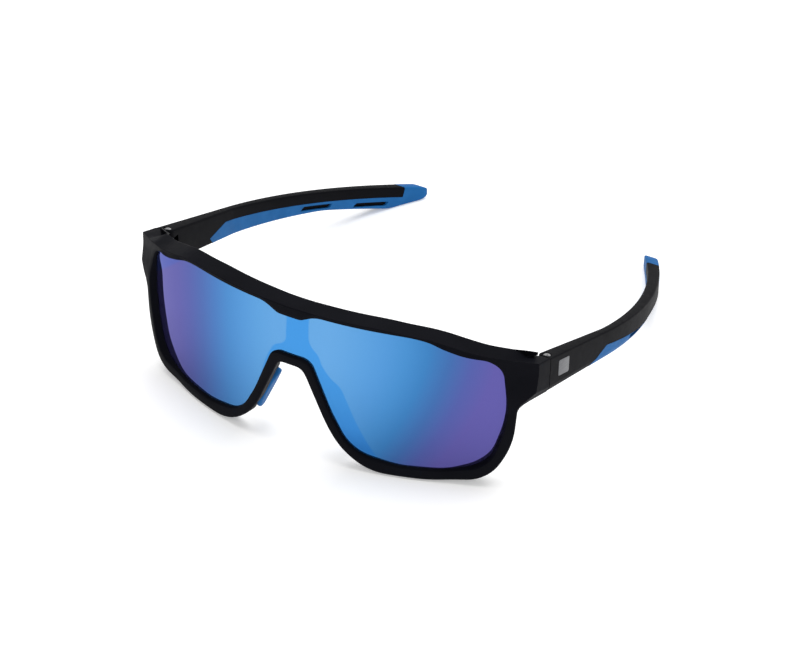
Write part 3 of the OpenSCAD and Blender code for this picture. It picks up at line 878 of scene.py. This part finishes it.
# ---------------------------------------------------------------- small pieces
def badge_outline(gap):
    """Side outline of the plain plate, a parallelogram that follows the temple."""
    low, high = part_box("badge_left")
    y0, y1 = low.y / MM - lens_front, high.y / MM - lens_front
    fall = top_fall * (y1 - y0)
    z0, z1 = low.z / MM, high.z / MM
    corners = [(y0 - gap, z1 + gap, 0.5), (y1 + gap, z1 - fall + gap, 0.5), (y1 + gap, z0 - gap, 0.5),
               (y0 - gap, z0 + fall - gap, 0.5)]
    return fillet(corners, steps=5, closed=True)


def badge(side):
    """Plain satin plate with softened edges."""
    outline = badge_outline(0)
    middle = outline.mean(axis=0)
    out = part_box("badge_left")[1].x / MM
    rings = []
    for x, shrink in ((side_x - 0.45, 0.0), (out - 0.1, 0.0), (out - 0.03, 0.03), (out, 0.1)):
        rings.append([(x, y, z) for y, z in middle + (outline - middle) * (1 - shrink / 3)])
    put("badge_" + SIDE_NAME[side] + "_plate", *loft(rings), SIDE_NAME[side] + "_temple", "badge_silver",
        ["badge_" + SIDE_NAME[side]], side=side)


def hinge_screw(side):
    """Pan head with a turned edge and a cross recess, on a plain shank."""
    top, under = screw_high, screw_high - head_h
    profile = [(shank_r, screw_low), (shank_r, under), (head_r - 0.08, under), (head_r, under + 0.08),
               (head_r, top - 0.3), (head_r - 0.06, top - 0.13), (1.08, top - 0.03), (0.9, top)]
    turn = np.linspace(0, 2 * math.pi, 56, endpoint=False)
    rings = [[(hinge_x + q * math.cos(a), hinge_y + q * math.sin(a), z) for a in turn] for q, z in profile]
    name = SIDE_NAME[side]
    screw = put("hinge_screw_" + name + "_turned", *loft(rings), None, None, side=side)
    arm_l, arm_w, recess_h = 0.8, 0.16, 0.32
    for ax, ay in ((arm_l, arm_w), (arm_w, arm_l)):
        corners = [(hinge_x + i * ax, hinge_y + j * ay) for i, j in ((-1, -1), (1, -1), (1, 1), (-1, 1))]
        arm = [[(x, y, z) for x, y in corners] for z in (top - recess_h, top + 1)]
        boolean(screw, put("drive", *loft(arm), None, None, side=side), "DIFFERENCE")
    finish_piece(screw, name + "_temple", "steel", ["hinge_screw_" + name])


def nose_pad(side):
    """Blue rubber pad: a rounded, slightly cupped blade on the frame's wing."""
    lean, turn = math.radians(25), math.radians(-6)
    place = Matrix.Translation((13.7, 8.0, 13.3))
    place = place @ Matrix.Rotation(-lean, 4, "Y") @ Matrix.Rotation(turn, 4, "Z")
    tall, wide, thick = 17.0, 7.4, 2.4
    rings = []
    count = 40
    for s in np.linspace(-1, 1, 41):
        h = tall / 2 * math.sin(s * math.pi / 2)
        half = max(wide / 2 * (1 - abs(2 * h / tall) ** 2.3) ** 0.5, 0.3)
        cup = 0.35 * (1 - (h / (tall / 2)) ** 2)
        deep = thick / 2 * min(1.0, 0.3 + half / 2.6)
        ring = []
        for k in range(count):
            b = 2 * math.pi * k / count
            u = half * math.copysign(abs(math.cos(b)) ** 0.75, math.cos(b))
            v = deep * math.copysign(abs(math.sin(b)) ** 0.6, math.sin(b))
            if v < 0:
                v *= 1 - cup * (1 - (u / max(half, 0.1)) ** 2) * 0.6
            ring.append(tuple(place @ Vector((v, u, h))))
        rings.append(ring)
    name = SIDE_NAME[side]
    put("nose_pad_" + name + "_rubber", *loft(rings), "front", "rubber_blue", ["nose_pad_" + name], 50,
        side=side)

    # the frame's wing that carries it, with a stub above the rubber: [height, back, how far it draws in]
    front, near, far = -6.4, 0.3, 1.5
    rings = []
    for h, back, cut in ((-6.6, 1.2, 0.4), (-6.3, 1.4, 0.1), (-5.8, 1.6, 0.0), (5.6, 1.4, 0.0),
                         (7.6, 1.2, 0.0), (10.6, 0.8, 0.1), (11.2, 0.6, 0.4)):
        x0, x1 = near + cut / 2, far - cut / 2
        y0, y1 = front + cut, back - cut
        corners = [(x0, y0, 0.3), (x1, y0, 0.3), (x1, y1, 0.4), (x0, y1, 0.4)]
        rings.append([tuple(place @ Vector((x, y, h))) for x, y in fillet(corners, steps=4, closed=True)])
    put("pad_wing_" + name, *loft(rings), "front", "frame_black", side=side)


studio()
front_frame()
lens_piece()
for side in (LEFT, RIGHT):
    hinge_tongue(side)
    nose_pad(side)
    temple_pieces(side)
    badge(side)
    hinge_screw(side)
    for node, slot in (("hinge_nut_", "steel"), ("hinge_washer_", "nylon_washer")):
        kept = frame["nodes"][node + SIDE_NAME[side]]
        kept.data.materials.clear()
        kept.data.materials.append(materials[slot])
